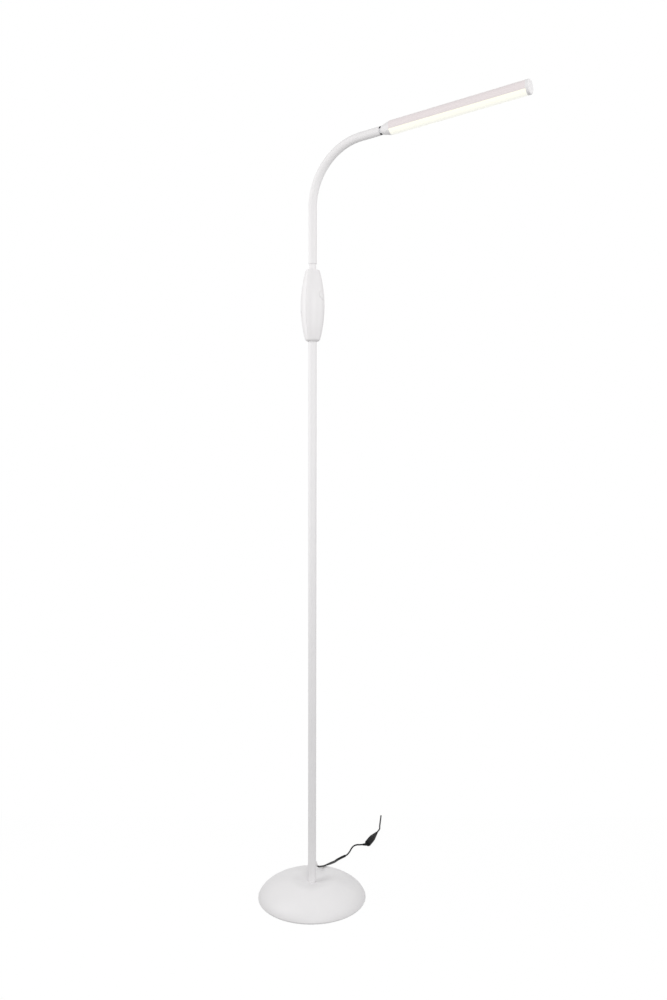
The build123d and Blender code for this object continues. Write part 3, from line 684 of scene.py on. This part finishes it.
def coil_place(turns):
    """Place on the coil after a number of turns."""
    radius = COIL_OUTER_RADIUS
    height = 0
    left = turns
    for span, outward, upward in coil_stages():
        share = min(max(left / span, 0), 1)
        radius += outward * share
        height += upward * share * share * (3 - 2 * share)
        left -= span
    angle = 2 * math.pi * turns
    middle = COIL_FIRST + COIL_RIGHT * COIL_OUTER_RADIUS
    across = COIL_RIGHT * (-radius * math.cos(angle)) + COIL_AXIS * (radius * math.sin(angle))
    return middle + across + UP * height


def tail_end():
    """Where the lead goes into the adapter's strain relief."""
    last = COIL_FIRST + COIL_AXIS * (COIL_STRAIGHT + TAIL_RUN)
    return Vector((last.x, last.y, TAIL_END_HEIGHT))


def adapter_lead_route():
    """From the plug along the floor, round the coil and up into the adapter's strain relief."""
    plug_tip = CONNECTOR_FOOT + CONNECTOR_AXIS * PLUG_END
    arrive = COIL_FIRST - COIL_AXIS * COIL_STRAIGHT
    route = [
        plug_tip, plug_tip + CONNECTOR_AXIS * PLUG_LEAVE_RUN,
        (-29.2, 277, 2.6), (-35.8, 288.5, LEAD_REST), (-42.4, 302, LEAD_REST), (-49.6, 317, LEAD_REST),
        (-56.8, 332, LEAD_REST), (-65.6, 348, 1.6),
        arrive - COIL_AXIS * COIL_ENTRY_RUN, arrive]
    for index in range(round(coil_turns() * COIL_POINTS_PER_TURN) + 1):
        route.append(coil_place(index / COIL_POINTS_PER_TURN))
    start = COIL_FIRST + COIL_AXIS * COIL_STRAIGHT + UP * coil_rise()
    end = tail_end()
    straight = COIL_AXIS * (TAIL_STRAIGHT_SHARE * (end - start).length)
    return route + [start, start + straight, end - straight, end]


def dc_socket_piece():
    """Body of the in-line socket: a blunt end, a band of grip rings and a plain mouth."""
    outer = [(0, SOCKET_RADIUS - SOCKET_BLUNT), (SOCKET_BLUNT_CUT, SOCKET_RADIUS - SOCKET_BLUNT_CUT),
             (SOCKET_BLUNT, SOCKET_RADIUS)]
    outer += grooved(SOCKET_GRIP_START, SOCKET_GRIP_END, SOCKET_RADIUS, SOCKET_RADIUS,
                     grooves=6, depth=GRIP_DEPTH)
    outer += [(SOCKET_END - MOUTH_CHAMFER, SOCKET_RADIUS), (SOCKET_END, SOCKET_RADIUS - MOUTH_CHAMFER)]
    inner = [(SOCKET_END, SOCKET_HOLE_RADIUS), (SOCKET_HOLE_START, SOCKET_HOLE_RADIUS),
             (SOCKET_HOLE_START, LEAD_RADIUS), (0, LEAD_RADIUS)]
    outline = rounded(outer + inner, SOCKET_EDGE_ROUND, steps=3)
    mesh = turned(outline, CONNECTOR_FOOT, CONNECTOR_AXIS)
    return settle("dc_socket_body", mesh, "stand", "connector_black", ["dc_socket"])


def bored(outer, start, end, edge_round):
    """Outline of a moulded sleeve with a bore for the lead from its start to its end."""
    return rounded(outer + [(end, LEAD_RADIUS), (start, LEAD_RADIUS)], edge_round, steps=3)


def dc_socket_relief_piece():
    """Ringed strain relief that meets the socket's blunt end at an angle."""
    outer = grooved(0, SOCKET_RELIEF_LENGTH, SOCKET_RELIEF_TIP_RADIUS, SOCKET_RELIEF_RADIUS,
                    grooves=4, depth=GRIP_DEPTH)
    outline = bored(outer, 0, SOCKET_RELIEF_LENGTH, SOCKET_EDGE_ROUND)
    mesh = turned(outline, SOCKET_RELIEF_FOOT, SOCKET_RELIEF_AXIS, sides=40)
    return settle("dc_socket_relief", mesh, "stand", "connector_black")


def dc_plug_piece():
    """Plug grip: a band, then a ribbed taper to the lead."""
    outer = [(PLUG_START, PLUG_RADIUS - MOUTH_CHAMFER), (PLUG_START + MOUTH_CHAMFER, PLUG_RADIUS),
             (PLUG_BAND_END, PLUG_RADIUS)]
    outer += grooved(PLUG_BAND_END + PLUG_STEP_RUN, PLUG_END, PLUG_RADIUS - PLUG_STEP_DROP, PLUG_TIP_RADIUS,
                     grooves=7, depth=GRIP_DEPTH)
    outline = bored(outer, PLUG_START, PLUG_END, EDGE_ROUND)
    mesh = turned(outline, CONNECTOR_FOOT, CONNECTOR_AXIS)
    return settle("dc_plug_grip", mesh, "stand", "connector_black", ["dc_plug"])


def adapter_relief_piece():
    """Ringed strain relief where the lead goes into the adapter."""
    outer = grooved(0, ADAPTER_RELIEF_LENGTH, ADAPTER_RELIEF_TIP_RADIUS, ADAPTER_RELIEF_RADIUS,
                    grooves=5, depth=0.45)
    outline = bored(outer, 0, ADAPTER_RELIEF_LENGTH, EDGE_ROUND)
    mesh = turned(outline, tail_end(), COIL_AXIS)
    return settle("adapter_strain_relief", mesh, "stand", "connector_black", ["adapter_relief"])


def coil_tie_piece():
    """Strap round one side of the coil, with rounded corners."""
    middle = COIL_FIRST + COIL_RIGHT * COIL_OUTER_RADIUS
    inner = COIL_INNER_RADIUS - LEAD_RADIUS - TIE_GAP
    outer = COIL_OUTER_RADIUS + LEAD_RADIUS + TIE_OUTER_GAP
    top = COIL_FIRST.z + coil_rise() + LEAD_RADIUS + TIE_GAP
    corners = [(inner, TIE_THICKNESS), (outer, TIE_THICKNESS), (outer, top), (inner, top)]
    centre = Vector(((inner + outer) / 2, (TIE_THICKNESS + top) / 2))
    spread_across = 1 + 2 * TIE_THICKNESS / (outer - inner)
    spread_up = 1 + 2 * TIE_THICKNESS / (top - TIE_THICKNESS)
    half = TIE_WIDTH / 2
    mesh = bmesh.new()
    rings = []
    for near in rounded(corners, TIE_ROUND, steps=6):
        way = Vector(near) - centre
        far = centre + Vector((way.x * spread_across, way.y * spread_up))
        ring = []
        for (across, up), along in ((near, -half), (near, half), (far, half), (far, -half)):
            flat = middle + COIL_RIGHT * across + COIL_AXIS * along
            ring.append(mesh.verts.new(Vector((flat.x, flat.y, up)) * MM))
        rings.append(ring)
    skin(mesh, rings, closed=True)
    return settle("coil_tie_strap", mesh, "stand", "connector_black", ["coil_tie"])


def route_line(route):
    """Places along a lead's smooth curve, read from a bare copy of it."""
    bare = lead_curve_data("bare_line", route)
    bare.bevel_depth = 0
    holder = bpy.data.objects.new("bare_line", bare)
    line = bpy.data.meshes.new_from_object(holder)
    places = [vertex.co.copy() / MM for vertex in line.vertices]
    bpy.data.objects.remove(holder)
    bpy.data.meshes.remove(line)
    bpy.data.curves.remove(bare)
    return places


def lead_sleeve(route):
    """Soft sleeve that thickens along the lead and ends in a small lip."""
    line = [place for place in route_line(route) if SLEEVE_START < place.y < SLEEVE_END]
    last = len(line) - 1
    mesh = bmesh.new()
    rings = []
    for index, place in enumerate(line):
        heading = (line[min(index + 1, last)] - line[max(index - 1, 0)]).normalized()
        side = heading.cross(UP).normalized()
        around = spokes(side, side.cross(heading), count=24)
        growth = min(index / last * SLEEVE_TAPER, 1)
        radius = SLEEVE_START_RADIUS + (SLEEVE_RADIUS - SLEEVE_START_RADIUS) * growth
        radii = [radius]
        if index == 0:
            radii = [LEAD_RADIUS, radius]
        if index == last:
            radii = [radius - SLEEVE_LIP, LEAD_RADIUS]
        rings += [ring_of(mesh, place, around, size) for size in radii]
    skin(mesh, rings)
    return settle("lamp_lead_sleeve", mesh, "stand", "lead_black")


def leads():
    """Both leads with what hangs on them."""
    socket = dc_socket_piece()
    socket_relief = dc_socket_relief_piece()
    plug = dc_plug_piece()
    relief = adapter_relief_piece()
    tie = coil_tie_piece()
    route = lamp_lead_route()
    lamp_lead = lead_curve("lamp_lead_cord", route)
    sleeve = lead_sleeve(route)
    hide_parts("lamp_lead")
    tuple(route[0] * MM)
    route = adapter_lead_route()
    adapter_lead = lead_curve("adapter_lead_cord", route)
    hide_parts("adapter_lead", "adapter_coil", "adapter_tail")
    tuple(route[0] * MM)


# Neck

def neck_lean(run):
    """Angle from upright after a run along the neck."""
    return min(max(run - NECK_STRAIGHT, 0), NECK_ARC) / NECK_BEND_RADIUS


def neck_heading(run):
    return Vector((math.sin(neck_lean(run)), 0, math.cos(neck_lean(run))))


def neck_point(run):
    """Place on the neck's centre line after a run along it."""
    lean = neck_lean(run)
    rise = NECK_FOOT + min(run, NECK_STRAIGHT) + NECK_BEND_RADIUS * math.sin(lean)
    bent = Vector((NECK_BEND_RADIUS * (1 - math.cos(lean)), 0, rise))
    return bent + neck_heading(run) * max(run - NECK_STRAIGHT - NECK_ARC, 0)


def neck_body(number):
    """Body of a link of the neck, counted from the foot."""
    return "stand" if number == 1 else f"neck_{number}"


def neck_tube(start, end, open_start, open_end):
    """Stretch of the neck's sleeve, with a rounded lip where it isn't open."""
    steps = 16
    outline = [(start + (end - start) * step / steps, NECK_RADIUS) for step in range(steps + 1)]
    lip = [(0, NECK_SLEEVE_BORE), (0, NECK_RADIUS - NECK_LIP), (NECK_LIP_CUT, NECK_RADIUS - NECK_LIP_CUT),
           (NECK_LIP, NECK_RADIUS)]
    if not open_start:
        outline[:1] = [(start + run, radius) for run, radius in lip]
    if not open_end:
        outline[-1:] = [(end - run, radius) for run, radius in reversed(lip)]
    mesh = bmesh.new()
    rings = []
    for run, radius in outline:
        around = spokes(SIDEWAYS, SIDEWAYS.cross(neck_heading(run)), count=48)
        rings.append(ring_of(mesh, neck_point(run), around, radius))
    skin(mesh, rings)
    return mesh


def neck_sleeve():
    """Sleeve over the neck: each stretch lies across one joint, from the middle of a link to the next."""
    half = NECK_PITCH / 2
    foot = neck_tube(0, half, False, True)
    settle("neck_sleeve_foot", foot, "stand", "white_sleeve", ["neck_link_01"])
    for number in range(1, NECK_LINKS):
        start = (number - 0.5) * NECK_PITCH
        end = (number + 0.5) * NECK_PITCH
        mesh = neck_tube(start, end, True, True)
        node = f"neck_link_{number + 1:02d}"
        piece = settle(f"neck_sleeve_{number}", mesh, None, "white_sleeve", [node])
        tuple(neck_point(start) * MM)
        tuple(neck_point(end) * MM)
        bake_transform(piece)
    tip = neck_tube(NECK_LENGTH - half, NECK_LENGTH, True, False)
    settle("neck_sleeve_tip", tip, neck_body(NECK_LINKS), "white_sleeve")


# Painted reflection pads on the swivel ring, and grommet

def painted_reflection_pad(name, upright, half_arc):
    """Dark pad bent over part of the swivel ring: painted reflection of the dark the chrome shows at its
    edge.
    """
    steps = 14
    inner = SWIVEL_RADIUS + REFLECTION_PAD_SEAT_GAP
    outer = NECK_RADIUS - REFLECTION_PAD_BELOW_NECK
    far = SWIVEL_LENGTH - REFLECTION_PAD_MARGIN
    corners = [(REFLECTION_PAD_MARGIN, inner), (far, inner), (far, outer), (REFLECTION_PAD_MARGIN, outer)]
    section = rounded(corners, REFLECTION_PAD_ROUND, steps=3)
    mesh = bmesh.new()
    rings = []
    for step in range(steps + 1):
        angle = half_arc * (2 * step / steps - 1)
        spoke = upright * math.cos(angle) + SIDEWAYS * math.sin(angle)
        rings.append([mesh.verts.new((HEAD_FOOT + HEAD_AXIS * along + spoke * radius) * MM)
                      for along, radius in section])
    skin(mesh, rings)
    mesh.faces.new(rings[0])
    mesh.faces.new(rings[-1])
    settle(name, mesh, neck_body(NECK_LINKS), "connector_black")


def pole_reach(spoke, gap):
    """How far along the grommet a line beside its axis comes out of the pole, and of a gap round that."""
    surface = math.sqrt((POLE_RADIUS + gap) ** 2 - spoke.x ** 2)
    return (surface - GROMMET_SEAT.y - spoke.y) / GROMMET_DIRECTION.y


def grommet_boot():
    """Ringed boot whose root follows the round of the pole."""
    across = Vector((1, 0, 0))
    around = spokes(across, GROMMET_DIRECTION.cross(across), count=48)
    outline = grooved(BOOT_START, GROMMET_LENGTH, BOOT_START_RADIUS, GROMMET_TIP_RADIUS,
                      grooves=3, depth=0.4)
    outline += [(GROMMET_LENGTH, LEAD_RADIUS), (GROMMET_LENGTH - BOOT_BORE_DEPTH, LEAD_RADIUS)]
    mesh = bmesh.new()

    def vertex(spoke, along):
        return mesh.verts.new((GROMMET_SEAT + spoke + GROMMET_DIRECTION * along) * MM)

    root = [spoke * BOOT_ROOT_RADIUS for spoke in around]
    rings = [[vertex(spoke, pole_reach(spoke, BOOT_ROOT_GAP)) for spoke in root]]
    for along, radius in outline:
        ring = [spoke * radius for spoke in around]
        rings.append([vertex(spoke, max(along, pole_reach(spoke, BOOT_POLE_GAP))) for spoke in ring])
    skin(mesh, rings)
    settle("grommet_boot", mesh, "stand", "white_plastic", ["cord_grommet"])


# The scene

photo_camera()
studio_floor()
studio_backdrop()
studio_light()
leads()
neck_sleeve()
# Dark pads at the top and bottom of the chrome swivel ring: painted reflection
painted_reflection_pad("painted_reflection_pad_top", -HEAD_DOWN, REFLECTION_PAD_TOP_HALF_ARC)
painted_reflection_pad("painted_reflection_pad_bottom", HEAD_DOWN, REFLECTION_PAD_BOTTOM_HALF_ARC)
grommet_boot()

dress("white_paint", "base_cover", "pole_lower", "pole_upper")
dress("white_plastic", "box_front_shell", "box_rear_shell", "touch_button", "neck_ferrule", "end_cap",
      "head_cone")
# The housing gets the pinkish copy of the white plastic: painted shade with a painted warm cast
dress("white_housing_painted_shade", "head_housing")
dress("diffuser_opal", "diffuser")
dress("chrome", "swivel_ring")
dress("steel", "base_plate", "base_screws", "pole_bolt", "bolt_washer", "pole_foot_insert", "pole_joiner",
      "box_screws", "box_spine", "swivel_spindle", "swivel_clip")
dress("ballast_iron", "base_ballast")
dress("foot_rubber", "floor_pad")
dress("spreader_aluminium", "led_carrier")
dress("board_green", "control_board")
dress("board_white", "led_strip")
dress("component_black", "board_components", "switch_body", "switch_plunger")
dress("light_source", "led_chips")
dress("lead_black", "pole_wire")
dress("connector_black", "adapter_front_case", "adapter_rear_case")
dress("contact_brass", "dc_barrel")
dress("pin_steel", "adapter_pins")

bpy.context.scene.view_settings.view_transform = "Standard"
